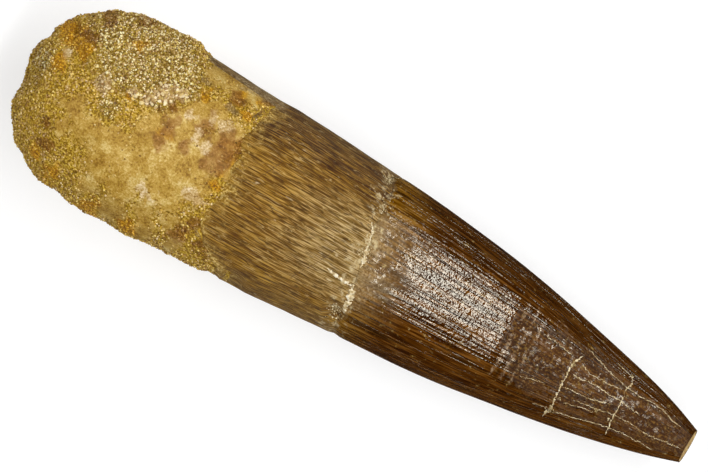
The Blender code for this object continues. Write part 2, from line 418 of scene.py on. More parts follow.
def tooth_relief(along, angle):
    """Rise of the tooth's surface, with the depth of its crown's grooves."""
    plain = surface(along, angle, np.zeros(along.shape))
    on_crown = smooth_step(along - break_line(angle), -0.4, 0.8)
    rise = -ROOT_SINK * smooth_step(along, SINK_FADE[1], SINK_FADE[0])
    pixels = photo_place(plain)
    top = smooth_step(np.sin(angle), -0.1, 0.1)
    for x, y, radius, depth in PIT_SPOTS:
        reach = np.hypot(pixels[..., 0] - x, pixels[..., 1] - y)
        rise -= depth * top * smooth_step(reach, radius, 0.2 * radius)
    groove = grooves(along, angle)
    rise -= GROOVE_DEPTH * groove
    fibres = rough_noise(fibre_space(along, angle), FIBRE_SPACING, 60, octaves=2)
    rise += FIBRE_DEPTH * fibres * (1 - 0.75 * on_crown)
    off_break = (along - break_line(angle)) / BREAK_WIDTH
    rise -= BREAK_GROOVE * np.exp(-(off_break**2))
    sag = STEP_DROP * smooth_step(along, *STEP_AT) + SAG_DROP * smooth_step(along, *SAG_AT)
    rise -= sag * smooth_step(along, SAG_END, SAG_AT[1]) * smooth_step(np.sin(angle), 0.1, 0.6)
    rise += BAND_DEPTH * bands(along, 0.25) * smooth_step(np.sin(angle), 0.3, 0.7)
    for side, start, middle, end, height in FLANK_NUDGES:
        share = smooth_step(along, start, middle) * smooth_step(along, end, middle)
        rise += height * share * smooth_step(side * np.cos(angle), 0.5, 0.95)
    rise += SURFACE_LUMPS * rough_noise(plain, 2.5, 70) * (1 - 0.6 * on_crown)
    return rise, groove


SAND_FADE = 0.8  # the root is dusted with sand over about this length past the matrix


def dullness(plain, along, angle, past_break, ragged):
    """How far the top of the crown has lost its gloss, past its step and near the break; past the
    step the material also paints shade and pale speckle from it.
    """
    topness = np.sin(angle) + 0.22 * rough_noise(plain, 1.4, 89)
    far = smooth_step(along, STEP_AT[0], STEP_AT[1] + 6.0 * smooth_step(topness, 0.96, 0.78))
    dull = np.maximum(far, smooth_step(past_break + 2 * ragged, 4.0, 0.0))
    dull = dull * smooth_step(topness, 0.6, 0.96)
    return dull * (0.85 + 0.7 * rough_noise(plain, 1.0, 86))


def banding(plain, along, angle, ragged):
    """How light or dark the painted highlight and shade of the bands across the top of the crown are,
    uneven and ragged.
    """
    on_top = smooth_step(np.sin(angle) + 0.1 * ragged, 0.72, 0.9)
    banded = bands(along + 0.08 * ragged, 0.0) * on_top
    return banded * np.clip(0.8 + 1.2 * rough_noise(plain, 0.9, 87), 0.0, 1.5)


def tooth_values(along, angle, groove):
    """The numbers that the tooth's material reads at each point."""
    plain = surface(along, angle, np.zeros(along.shape))
    past_break = along - break_line(angle)
    ragged = rough_noise(plain, 0.5, 81)
    crown = smooth_step(past_break + 0.35 * ragged, -0.1, 0.4)
    scuffed = np.exp(-(((past_break + 0.2) / 1.0) ** 2)) * (0.5 + 0.6 * ragged)
    # painted sheen: the root is paler where it faces up; on the crown the same value lays a pale film
    # near the break
    upper_middle = smooth_step(np.abs(np.cos(angle) + 0.05), 0.75, 0.25)
    pallor = upper_middle * (0.1 + 0.8 * smooth_step(along, 18.0, 24.0)) + 0.12 * ragged
    pallor = pallor * (1 + 1.2 * crown * rough_noise(plain, 1.1, 92))
    dull = dullness(plain, along, angle, past_break, ragged)
    sandy = np.exp(-np.maximum(along - matrix_edge(angle), 0.0) / SAND_FADE)
    sandy = sandy * (0.75 + 0.7 * rough_noise(plain, 1.3, 88)) + 0.25 * ragged
    patchy = 0.7 + 1.1 * rough_noise(plain, 1.5, 91)
    return {
        "tooth_space": np.stack([np.cos(angle), np.sin(angle), along], axis=-1),
        "crown": crown,
        "dull": np.clip(dull, 0.0, 1.0),
        "banded": np.clip(banding(plain, along, angle, ragged), -1.0, 1.0),
        "scuffed": np.clip(scuffed, 0.0, 1.0),
        "pallor": np.clip(pallor, 0.0, 1.0),
        "sandy": np.clip(sandy, 0.0, 1.0),
        "dusty": region(plain, *REGIONS["dusty"]) * np.clip(patchy, 0.0, 1.0),
        "groove": groove,
    }


ROOT_COLUMNS, ROOT_ROWS = 480, 150
CROWN_COLUMNS, CROWN_ROWS = 780, 116
UNDER_MATRIX = 0.5  # the root's skin starts this far inside the matrix's edge
BURIED_RINGS = ((1.0, 0.3), (0.7, 0.6), (0.35, 0.84))  # shares of the way in, and of the width
BURIED_END = 8.0
BREAK_RINGS = (0.97, 0.6, 0.2)  # shares of the width, for the rings that close the break
TIP_RINGS = (0.97, 0.86, 0.7, 0.5, 0.3, 0.12)
TIP_REACH = 0.12
SLANT_START = 0.9  # share of the crown's length
FACE_ROUGHNESS = 0.08
FACE_DEPTH = 0.05


def tooth_skin(angle, start, end, rows):
    """Points of the tooth from one line round it to another, with their values."""
    along = start + (end - start) * np.linspace(0.0, 1.0, rows)[:, None]
    angles = np.broadcast_to(angle, along.shape)
    rise, groove = tooth_relief(along, angles)
    return above_floor(surface(along, angles, rise)), tooth_values(along, angles, groove)


def pad_rows(value, before, after):
    """Repeats the first and last rows of a grid of values for rings added at its ends."""
    return np.concatenate([np.repeat(value[:1], before, 0), value, np.repeat(value[-1:], after, 0)])


def tooth_piece(name, before, skin, after, values, tip_face, material):
    """A closed piece: its skin, and the rings before and after it that close its ends."""
    rings = np.concatenate([before, skin, after])
    values = {label: pad_rows(value, len(before), len(after)) for label, value in values.items()}
    values["tip_face"] = np.zeros(rings.shape[:2])
    values["tip_face"][-len(after):] = tip_face
    make_piece(name, *tube(rings, values), material, "tooth", "tooth")


def buried_ring(edge, angle, way, width_share, gap=0.0):
    """A ring round the buried root, a share of the way in from edge, with a gap round it."""
    ring = surface(edge, angle, np.full(angle.shape, gap - ROOT_SINK))
    middle = np.stack([ring[:, 0], axis_side(edge), axis_height(edge)], axis=-1)
    ring = middle + (ring - middle) * width_share
    ring[:, 0] += (BURIED_END - edge) * way - gap * way
    return ring


def build_root(material):
    """The striped root: its buried stub, the part beside the matrix and the mended break."""
    angle = ring_angles(ROOT_COLUMNS)
    edge = matrix_edge(angle) - UNDER_MATRIX
    skin, values = tooth_skin(angle, edge, break_line(angle), ROOT_ROWS)
    stub = [buried_ring(edge, angle, *ring) for ring in BURIED_RINGS]
    inner = [shrunken(skin[-1], share) for share in BREAK_RINGS]
    tooth_piece("tooth_root", stub, skin, inner, values, 0.0, material)


def build_crown(material):
    """The ridged crown, from the mended break to its broken tip."""
    angle = ring_angles(CROWN_COLUMNS)
    skin, values = tooth_skin(angle, break_line(angle), LENGTH, CROWN_ROWS)
    base = axis_height(LENGTH) - HEIGHT_SHARE * TIP_HALF_WIDTH
    slant = smooth_step(np.linspace(0.0, 1.0, CROWN_ROWS)[:, None], SLANT_START, 1.0)
    skin[..., 0] += (TIP_REACH - TIP_SLANT * (skin[..., 2] - base)) * slant
    inner = [shrunken(skin[0], share) for share in reversed(BREAK_RINGS)]
    face = np.array([shrunken(skin[-1], share) for share in TIP_RINGS])
    face[..., 0] += FACE_ROUGHNESS * rough_noise(face, 0.5, 91) - FACE_DEPTH
    tooth_piece("tooth_crown", inner, skin, face, values, 1.0, material)


# The matrix: pixels of the photograph with a radius, for each kind of surface

COARSE_SPOTS = (
    (112, 34, 22), (140, 38, 26), (166, 50, 24), (186, 62, 17), (178, 80, 20), (150, 72, 26),
    (122, 62, 24), (160, 94, 15), (188, 92, 12), (46, 58, 10), (108, 106, 11),
)
LEDGE_SPOTS = (
    (110, 38, 30), (140, 42, 32), (170, 56, 32), (184, 64, 20), (178, 84, 26), (150, 78, 28),
    (165, 96, 16), (118, 58, 30),
)
WAXY_SPOTS = (
    (150, 138, 22), (180, 132, 24), (200, 116, 16), (216, 112, 13), (165, 165, 28), (190, 160, 28),
    (216, 150, 18), (190, 188, 20), (162, 190, 24), (130, 165, 26), (104, 150, 22), (74, 108, 14),
    (230, 132, 12), (146, 212, 14), (67, 55, 9), (120, 190, 16), (226, 168, 10), (88, 128, 17),
    (96, 172, 12), (60, 128, 9), (170, 222, 10), (214, 72, 9), (226, 80, 11), (240, 90, 10),
    (252, 98, 8), (112, 206, 13), (142, 228, 12), (172, 243, 9), (86, 184, 10),
)
PALE_SPOTS = (
    (134, 95, 6), (150, 98, 8), (165, 95, 9), (180, 92, 8), (191, 115, 6), (226, 126, 7),
    (214, 118, 6), (196, 137, 6), (141, 187, 4), (146, 193, 5), (151, 199, 3), (187, 191, 5),
    (193, 197, 6), (200, 204, 5), (205, 148, 6), (67, 57, 6), (104, 84, 10),
)
ORANGE_SPOTS = (
    (75, 34, 14), (66, 27, 10), (84, 42, 10), (228, 148, 10), (227, 160, 9), (220, 174, 6),
    (167, 133, 7), (128, 98, 6), (247, 115, 8), (139, 44, 6), (206, 96, 7), (84, 52, 9),
    (214, 188, 5), (238, 98, 7), (60, 66, 8), (36, 150, 8), (92, 222, 8),
    (52, 172, 9), (88, 205, 10), (128, 226, 10), (262, 103, 5),
)
BROWN_SPOTS = (
    (226, 152, 20), (220, 166, 13), (232, 142, 11), (158, 112, 6), (48, 142, 10), (44, 120, 6),
    (206, 128, 10), (186, 148, 8), (206, 160, 8),
    (240, 98, 7), (168, 130, 10), (160, 142, 8), (112, 20, 10), (146, 20, 8), (92, 34, 7),
    (176, 122, 8), (176, 236, 10), (172, 106, 5), (192, 228, 8), (204, 250, 8), (268, 102, 5),
)
UPPER_HEIGHTS = (4.0, 5.7)  # between these, the surface begins to show from above
# pale grey-beige band on the root's upper flank: dust, and a painted reflection of the bright
# surroundings at a grazing angle
DUST_AND_RIM_REFLECTION_SPOTS = (
    (218, 58, 9), (226, 63, 10), (234, 69, 10), (242, 75, 10), (250, 80, 10), (259, 86, 10),
    (268, 93, 9), (276, 99, 8), (285, 105, 6), (232, 110, 5), (207, 80, 4),
)


def region(points, spots, raggedness, seed):
    """How much each point is on one kind of surface, which only the upper side shows."""
    facing_up = smooth_step(points[..., 2], *UPPER_HEIGHTS)
    return photo_spots(points, spots, raggedness, seed) * facing_up


REGIONS = {  # spots, raggedness in pixels and seed
    "coarse": (COARSE_SPOTS, 7.0, 200),
    "waxy": (WAXY_SPOTS, 9.0, 230),
    "pale": (PALE_SPOTS, 7.0, 260),
    "orange": (ORANGE_SPOTS, 9.0, 290),
    "brown": (BROWN_SPOTS, 10.0, 320),
    "dusty": (DUST_AND_RIM_REFLECTION_SPOTS, 8.0, 370),
}


def matrix_regions(points):
    """The kinds of surface of the matrix, each as a number from 0 to 1 for every point."""
    return {label: region(points, *spots) for label, spots in REGIONS.items()}


MATRIX_COLUMNS = 420
DOME_ROWS, WALL_ROWS = 110, 74
POLE_ANGLE = math.radians(3)
CRUST = -0.03
UNDER_CRUST = 0.4
UNDER_HEIGHTS = (0.35, 0.9)
LEDGE_RISE = 0.38
LEDGE_HEIGHTS = (6.0, 8.5)
KNOB_HEIGHTS = (3.5, 5.0)
MATRIX_LUMPS = (  # spacing, height, how much of it the waxy rock lacks, seed and octaves
    (3.2, 0.14, 0.0, 400, 3),
    (0.9, 0.11, 0.07, 410, 3),
    (0.28, 0.05, 0.038, 420, 2),
)
THIN_EDGE = 0.35  # the relief fades over this length towards the ragged edge
FIT_GAP = 0.1
SOCKET_FLOOR = 0.02
KNOB_SPOTS = (  # pixels, radius in pixels and height in millimetres
    (194, 42, 14, 0.22), (200, 52, 8, 0.1), (52, 46, 12, 0.12), (36, 64, 13, -0.3),
    (75, 36, 15, -0.24), (68, 56, 10, -0.1), (22, 76, 22, -0.5), (92, 22, 10, -0.14),
    (48, 32, 10, -0.3), (100, 12, 20, -0.24), (56, 192, 16, -0.22), (214, 272, 14, -0.2),
    (135, 150, 22, -0.14), (205, 150, 18, 0.08), (228, 274, 14, -0.22), (126, 238, 24, 0.22),
    (150, 200, 20, 0.1), (195, 194, 8, 0.06), (15, 142, 13, 0.14),
)


def matrix_relief(along, angle):
    """Rise of the matrix: crust, ledge, knobs, hollows, lumps and a sandy skin."""
    plain = surface(along, angle, np.zeros(along.shape))
    rise = CRUST * smooth_step(along, 0.0, DOME_LENGTH)
    rise += UNDER_CRUST * smooth_step(-np.sin(angle), *UNDER_HEIGHTS)
    on_top = smooth_step(plain[..., 2], *LEDGE_HEIGHTS)
    ledge = smooth_step(photo_spots(plain, LEDGE_SPOTS, 6.0, 350), 0.25, 0.75)
    rise += LEDGE_RISE * on_top * ledge
    pixels = photo_place(plain)
    top = smooth_step(plain[..., 2], *KNOB_HEIGHTS)
    for x, y, radius, height in KNOB_SPOTS:
        reach = np.hypot(pixels[..., 0] - x, pixels[..., 1] - y)
        rise += height * top * smooth_step(reach, 1.2 * radius, 0.0)
    waxy = region(plain, *REGIONS["waxy"])
    for spacing, height, worn, seed, octaves in MATRIX_LUMPS:
        rise += (height - worn * waxy) * rough_noise(plain, spacing, seed, octaves)
    return rise


def build_matrix(material):
    """The matrix from the root end to its ragged edge, and back in round the buried root."""
    angle = ring_angles(MATRIX_COLUMNS)
    edge = matrix_edge(angle)
    tilt = np.linspace(POLE_ANGLE, math.pi / 2, DOME_ROWS)[:, None]
    dome = DOME_LENGTH * (1 - np.cos(tilt) ** (2 / DOME_POWER)) + 0 * angle
    wall = DOME_LENGTH + (edge - DOME_LENGTH) * np.linspace(0.0, 1.0, WALL_ROWS)[1:, None]
    along = np.concatenate([dome, wall])
    angles = np.broadcast_to(angle, along.shape)
    inside_edge = smooth_step(edge - along, 0.0, THIN_EDGE)
    rise = matrix_relief(along, angles) * (0.55 + 0.45 * inside_edge)
    skin = above_floor(surface(along, angles, rise))
    socket = [above_floor(buried_ring(edge, angle, *ring, FIT_GAP), SOCKET_FLOOR)
              for ring in ((0.0, 1.0), *reversed(BURIED_RINGS))]
    rings = np.concatenate([skin, socket])
    make_piece("matrix_rock", *tube(rings, matrix_regions(rings)), material, "sandy_matrix",
               "sandy_matrix")
    return skin


# Grains of sand


def icosahedron():
    golden = (1 + math.sqrt(5)) / 2
    corners = [(-1, golden, 0), (1, golden, 0), (-1, -golden, 0), (1, -golden, 0),
               (0, -1, golden), (0, 1, golden), (0, -1, -golden), (0, 1, -golden),
               (golden, 0, -1), (golden, 0, 1), (-golden, 0, -1), (-golden, 0, 1)]
    corners = np.array(corners) / math.sqrt(1 + golden**2)
    faces = [(0, 11, 5), (0, 5, 1), (0, 1, 7), (0, 7, 10), (0, 10, 11), (1, 5, 9), (5, 11, 4),
             (11, 10, 2), (10, 7, 6), (7, 1, 8), (3, 9, 4), (3, 4, 2), (3, 2, 6), (3, 6, 8),
             (3, 8, 9), (4, 9, 5), (2, 4, 11), (6, 2, 10), (8, 6, 7), (9, 8, 1)]
    return corners, np.array(faces)


def random_turns(draw, count):
    """Random rotation matrices, from random quaternions."""
    quarter = draw.normal(size=(count, 4))
    w, x, y, z = (quarter / np.linalg.norm(quarter, axis=1, keepdims=True)).T
    rows = [1 - 2 * (y * y + z * z), 2 * (x * y - z * w), 2 * (x * z + y * w),
            2 * (x * y + z * w), 1 - 2 * (x * x + z * z), 2 * (y * z - x * w),
            2 * (x * z - y * w), 2 * (y * z + x * w), 1 - 2 * (x * x + y * y)]
    return np.stack(rows, axis=-1).reshape(count, 3, 3)


GRAIN_SIDES = (0.7, 1.25)  # a grain's length, width and height over its radius
GRAIN_CORNERS = (0.82, 1.15)  # how far each of its corners then sticks out


def make_grains(name, centres, radii, regions, material, seed):
    """One mesh of angular grains, each with its own shape, turn, tone and lot."""
    draw = np.random.default_rng(seed)
    corners, faces = icosahedron()
    count = len(centres)
    shapes = corners * draw.uniform(*GRAIN_SIDES, (count, 1, 3))
    shapes *= draw.uniform(*GRAIN_CORNERS, (count, len(corners), 1))
    turned = np.einsum("gij,gcj->gci", random_turns(draw, count), shapes)
    points = above_floor(centres[:, None] + turned * radii[:, None, None])
    every_face = faces + np.arange(count)[:, None, None] * len(corners)
    tone, lot = draw.uniform(0.0, 1.0, count), draw.uniform(-0.5, 0.5, count)
    values = dict(regions, tone=tone, lot=lot)
    values = {label: np.repeat(value, len(corners)) for label, value in values.items()}
    make_piece(name, points.reshape(-1, 3), every_face.reshape(-1, 3).tolist(), values, material,
               "sandy_matrix", smooth=False)


STANDING_OUT = 0.35  # share of its radius by which a grain's centre lies out of the rock


def scatter(skin, likelihood, radii, draw):
    """Centres for grains over a grid of surface points, drawn by area times likelihood."""
    right = np.roll(skin, -1, axis=1)[:-1] - skin[:-1]
    down = skin[1:] - skin[:-1]
    inwards = np.cross(down, right)
    area = np.linalg.norm(inwards, axis=-1)
    chances = area * likelihood[:-1]
    chances = (chances / chances.sum()).ravel()
    row, column = np.divmod(draw.choice(chances.size, size=len(radii), p=chances), skin.shape[1])
    across, along = draw.uniform(size=(2, len(radii), 1))
    places = skin[row, column] + right[row, column] * across + down[row, column] * along
    lift = STANDING_OUT * radii / np.maximum(area[row, column], 1e-9)
    return places - inwards[row, column] * lift[:, None]


COARSE_GRAINS = 5600
COARSE_RADII = (0.04, 0.1)
PALE_GRAINS = 260
PALE_RADII = (0.07, 0.15)
FINE_GRAINS = 8600
FINE_RADII = (0.03, 0.08)
FINE_PIECES = 2
BREAK_RADII = (0.025, 0.065)
BREAK_SAND = (  # pixels, radius in pixels and number of grains
    (391, 178, 6, 90), (384, 205, 9, 70), (366, 254, 9, 50), (334, 313, 8, 120),
    (574, 364, 3, 14), (549, 412, 5, 24), (629, 396, 2, 8), (609, 422, 2, 9), (372, 232, 6, 20),
    (560, 401, 2, 8), (636, 373, 2, 8), (596, 413, 3, 10),
)


def build_sand(skin, coarse_finish, fine_finish):
    """Coarse and pale grains on the raised patch, and finer ones over the rough rock."""
    regions = matrix_regions(skin)
    draw = np.random.default_rng(500)
    radii = draw.uniform(*COARSE_RADII, COARSE_GRAINS)
    centres = scatter(skin, regions["coarse"] ** 2 * (1 - 0.9 * regions["waxy"]), radii, draw)
    regions_here = matrix_regions(centres)
    radii *= 0.82 + 0.36 * regions_here["pale"]
    make_grains("coarse_grains", centres, radii, regions_here, coarse_finish, 510)
    radii = draw.uniform(*PALE_RADII, PALE_GRAINS)
    centres = scatter(skin, regions["coarse"] * regions["pale"] ** 2, radii, draw)
    make_grains("pale_grains", centres, radii, matrix_regions(centres), coarse_finish, 515)
    likelihood = np.clip(1 - 0.93 * regions["waxy"] - 0.6 * regions["coarse"], 0.0, 1.0)
    likelihood *= np.clip(0.8 + 0.8 * rough_noise(skin, 1.4, 505), 0.15, 1.0)
    likelihood *= 1 - 0.8 * regions["dusty"]
    for part in range(FINE_PIECES):
        radii = draw.uniform(*FINE_RADII, FINE_GRAINS)
        centres = scatter(skin, likelihood, radii, draw)
        name = f"fine_grains_{part + 1}"
        make_grains(name, centres, radii, matrix_regions(centres), fine_finish, 520 + part)


def build_break_sand(material):
    """Sand left in the mended break and where the cracks of the crown cross."""
    draw = np.random.default_rng(530)
    pixels = np.concatenate([
        np.array([x, y]) + draw.normal(0, radius / 2, (count, 2))
        for x, y, radius, count in BREAK_SAND
    ])
    along, angle = tooth_place(pixels)
    rise, _ = tooth_relief(along, angle)
    radii = draw.uniform(*BREAK_RADII, len(pixels))
    centres = surface(along, angle, rise)
    make_grains("break_sand", centres, radii, {}, material, 540)


# Cracks filled with pale sediment, as lines of pixels of the photograph

CRACKS = (  # half width in millimetres, then the route
    (0.085, ((585, 355), (574, 363.5), (568, 374), (563, 384), (556, 398), (552, 408))),
    (0.11, ((553, 406), (549, 412), (541.6, 418.7))),
    (0.05, ((637, 371), (635, 381.5), (628, 388.7), (623, 402), (614.7, 417.5), (608.7, 429.5),
            (604.5, 438))),
    (0.03, ((544, 333.6), (560, 344), (575, 355))),
    (0.04, ((583.5, 362.4), (592, 374), (611, 384), (624, 388.7))),
    (0.045, ((571.6, 373), (582, 380), (596.7, 385), (610, 394.7), (623, 402), (635, 411.5),
             (641, 416))),
    (0.04, ((563, 387.5), (574, 393), (587, 399.5), (602.7, 403.7), (613.5, 405.5))),
    (0.04, ((563, 405.5), (580, 410), (592, 415))),
    (0.035, ((576, 403), (596.7, 411.5), (616, 417), (630, 424.7), (649.5, 436.7), (664, 441.5),
             (680.7, 448.7))),
    (0.035, ((552, 414), (568, 420), (584.7, 424.7), (604, 429.5), (622, 435.5), (652, 450))),
    (0.035, ((592, 348), (604, 361), (616, 374), (628, 385), (640, 394.7), (654, 402),
             (664, 410), (674.7, 422), (680.7, 427))),
    (0.03, ((622, 360), (634, 372))),
    (0.03, ((520, 376.7), (544, 384))),
    (0.03, ((532, 405.5), (543, 409))),
)
HAIRLINES = (
    (0.035, ((395, 182), (393, 189), (391, 195), (389, 200))),
    (0.02, ((254, 181), (262, 175), (271, 170), (284, 160))),
    (0.02, ((287, 281), (301, 271), (318, 262), (330, 253), (341, 246))),
    (0.02, ((378, 204), (372, 214), (374, 224), (366, 236))),
)
CHALK_SEAMS = (
    (0.13, ((327, 268), (333, 273), (339, 278), (347, 283), (352.6, 287))),
    (0.24, ((353.5, 285), (351.5, 292), (349, 300), (345, 309), (343, 314))),
    (0.17, ((368, 245), (366, 252), (364, 260), (360, 268))),
    (0.1, ((372, 222), (373, 232), (369, 243))),
)


VEIN_SIDES = 8
VEIN_STEP = 1.1  # pixels between the rings of a vein
VEIN_STRAY = 0.45  # pixels by which its rings stray from the route
VEIN_TAPER = 5  # pixels over which each end narrows


def vein_rings(half, route, draw, height):
    """Rings round a filling that follows a route of pixels: places on the tooth, and lifts."""
    pixels = np.array(route, dtype=float)
    legs = np.r_[0, np.cumsum(np.hypot(*np.diff(pixels, axis=0).T))]
    stops = np.linspace(0, legs[-1], int(legs[-1] / VEIN_STEP) + 3)
    line = np.stack([np.interp(stops, legs, pixels[:, axis]) for axis in range(2)], axis=-1)
    line[1:-1] += draw.normal(0, VEIN_STRAY, (len(line) - 2, 2))
    along, angle = tooth_place(line)
    centre = np.stack([along, angle * half_width(along)], axis=-1)
    ahead = np.gradient(centre, axis=0)
    ahead /= np.linalg.norm(ahead, axis=1, keepdims=True)
    beside = np.stack([-ahead[:, 1], ahead[:, 0]], axis=-1)
    ends = smooth_step(stops, 0, VEIN_TAPER)
    ends = ends * smooth_step(stops, legs[-1], legs[-1] - VEIN_TAPER)
    width = half * (0.2 + 0.6 * ends) * draw.uniform(0.1, 1.4, len(line))
    turns = np.arange(VEIN_SIDES) * TURN / VEIN_SIDES
    place = centre[:, None] + beside[:, None] * (width[:, None] * np.cos(turns))[..., None]
    lift = height * np.sin(turns) * draw.uniform(0.6, 1.2, (len(line), VEIN_SIDES))
    return place[..., 0], place[..., 1] / half_width(along)[:, None], lift


def build_veins(name, routes, material, seed, height):
    """Thin raised fillings that follow routes over the tooth, each a closed flat tube."""
    draw = np.random.default_rng(seed)
    along, angle, lift, faces = [], [], [], []
    for half, route in routes:
        first = sum(len(part) for part in along)
        part_along, part_angle, part_lift = vein_rings(half, route, draw, height)
        last = first + (len(part_along) - 1) * VEIN_SIDES
        for near in range(first, last, VEIN_SIDES):
            for side in range(VEIN_SIDES):
                following = (side + 1) % VEIN_SIDES
                faces.append((near + side, near + following, near + VEIN_SIDES + following,
                              near + VEIN_SIDES + side))
        faces.append(tuple(first + side for side in reversed(range(VEIN_SIDES))))
        faces.append(tuple(last + side for side in range(VEIN_SIDES)))
        along.append(part_along.ravel())
        angle.append(part_angle.ravel())
        lift.append(part_lift.ravel())
    along, angle, lift = np.concatenate(along), np.concatenate(angle), np.concatenate(lift)
    rise, _ = tooth_relief(along, angle)
    points = surface(along, angle, rise + lift)
    make_piece(name, points, faces, {}, material, "sandy_matrix")


# Materials


def rgb(red, green, blue):
    """A screen colour, from 0 to 255, as the linear colour that a shader takes."""
    linear = [((part / 255 + 0.055) / 1.055) ** 2.4 if part > 10 else part / 255 / 12.92
              for part in (red, green, blue)]
    return (*linear, 1.0)


class Recipe:
    """A procedural material, built node by node."""

    def __init__(self, name):
        self.material = bpy.data.materials.new(name)
        self.material.use_nodes = True
        self.nodes = self.material.node_tree.nodes
        self.links = self.material.node_tree.links

    def put(self, socket, value):
        """Links a socket to another one, or gives it a constant."""
        if isinstance(value, bpy.types.NodeSocket):
            self.links.new(value, socket)
        else:
            socket.default_value = value

    def fill(self, node, inputs):
        for name, value in inputs.items():
            self.put(node.inputs[name.replace("_", " ")], value)
        return node

    def add(self, kind, **inputs):
        return self.fill(self.nodes.new(kind), inputs)

    def finished(self, **inputs):
        """The material, with these inputs of its shader."""
        self.fill(self.nodes["Principled BSDF"], inputs)
        return self.material

    def attribute(self, name, output="Fac"):
        node = self.add("ShaderNodeAttribute")
        node.attribute_name = name
        return node.outputs[output]

    def stretched(self, vector, scale):
        node = self.add("ShaderNodeVectorMath")
        node.operation = "MULTIPLY"
        self.put(node.inputs[0], vector)
        self.put(node.inputs[1], scale)
        return node.outputs[0]

    def place(self):
        """Millimetres in the object's frame."""
        source = self.add("ShaderNodeTexCoord")
        return self.stretched(source.outputs["Object"], (1 / MM,) * 3)

    def noise(self, vector, scale, detail=3.0, roughness=0.55):
        return self.add("ShaderNodeTexNoise", Vector=vector, Scale=scale, Detail=detail,
                        Roughness=roughness).outputs["Fac"]

    def part(self, vector, axis):
        """The part of a vector along X, Y or Z."""
        return self.add("ShaderNodeSeparateXYZ", Vector=vector).outputs[axis]

    def math(self, operation, first, second=0.0):
        node = self.add("ShaderNodeMath")
        node.operation = operation
        self.put(node.inputs[0], first)
        self.put(node.inputs[1], second)
        return node.outputs[0]

    def times(self, first, second):
        return self.math("MULTIPLY", first, second)

    def swing(self, noise, reach):
        """Noise round a half, carried to numbers round zero."""
        return self.times(self.math("SUBTRACT", noise, 0.5), reach)

    def span(self, value, low, high, start=0.0, end=1.0):
        """Carries low..high of value to start..end, and stays inside them."""
        node = self.add("ShaderNodeMapRange", Value=value, From_Min=low, From_Max=high,
                        To_Min=start, To_Max=end)
        node.interpolation_type = "SMOOTHSTEP"
        return node.outputs["Result"]

    def ramp(self, value, stops):
        """Colours at places from 0 to 1, given as (place, red, green, blue)."""
        node = self.add("ShaderNodeValToRGB", Fac=value)
        elements = node.color_ramp.elements
        while len(elements) < len(stops):
            elements.new(0.5)
        for element, (place, *colour) in zip(elements, stops):
            element.position = place
            element.color = rgb(*colour)
        return node.outputs["Color"]

    def mix(self, share, first, second):
        node = self.add("ShaderNodeMix")
        node.data_type = "RGBA"
        self.put(node.inputs["Factor"], share)
        self.put(node.inputs[6], first)
        self.put(node.inputs[7], second)
        return node.outputs[2]

    def bump(self, height, depth, normal=None):
        """Bump of depth millimetres between the lows and the highs of height."""
        node = self.add("ShaderNodeBump", Distance=depth * MM, Height=height)
        if normal:
            self.put(node.inputs["Normal"], normal)
        return node.outputs["Normal"]


# Colours of the tooth: tones are (place, red, green, blue)

WARM_TONES = ((0.37, 74, 40, 0), (0.5, 118, 78, 0), (0.63, 168, 128, 44))
SHEEN_TONES = ((0.37, 98, 68, 14), (0.5, 144, 114, 58), (0.63, 196, 172, 126))
SHADED_FLANK_TONES = ((0.37, 44, 18, 0), (0.5, 86, 50, 0), (0.63, 146, 106, 30))
ENAMEL_TONES = ((0.37, 46, 18, 0), (0.5, 74, 38, 0), (0.63, 114, 72, 24))
OCHRE_TONES = ((0.37, 72, 38, 0), (0.5, 110, 72, 4), (0.63, 158, 116, 46))
FILM_TONES = ((0.36, 106, 78, 40), (0.64, 176, 150, 106))
SCUFF_TONES = ((0.36, 116, 86, 38), (0.5, 166, 138, 86), (0.62, 216, 200, 158))
TIP_TONES = ((0.35, 150, 112, 48), (0.65, 232, 200, 136))
PORES = rgb(56, 30, 0)
PALE_THREADS = rgb(200, 170, 106)
GLINTS = rgb(214, 194, 150)
UPPER_FLANK_SHADE = rgb(40, 18, 0)
GROOVE_SHADE_AND_SCRATCHES = rgb(32, 14, 0)
FAR_END_SHADE = rgb(50, 22, 0)
PAINTED_SPECKLE = rgb(150, 110, 46)
BAND_HIGHLIGHTS = rgb(176, 150, 118)
BAND_SHADOWS = rgb(36, 16, 0)
ENAMEL_SHINE = (1.0, 0.96, 0.82, 1.0)
RING_SCALE = 6.5  # carries the ring of tooth_space to about the width of the root


def streaks(recipe, space, along, scale, detail=2.0):
    """Noise drawn out along the tooth, in longer streaks for a smaller number along."""
    place = recipe.stretched(space, (RING_SCALE, RING_SCALE, along))
    return recipe.noise(place, scale, detail=detail)


def threads(recipe, space, scale, along, width):
    """1 on thin lines that run along the tooth, 0 between them: contours of streaks."""
    height = streaks(recipe, space, along, scale, detail=1.0)
    off_contour = recipe.math("ABSOLUTE", recipe.math("SUBTRACT", height, 0.5))
    return recipe.span(off_contour, 0.2 * width, width, 1.0, 0.0)


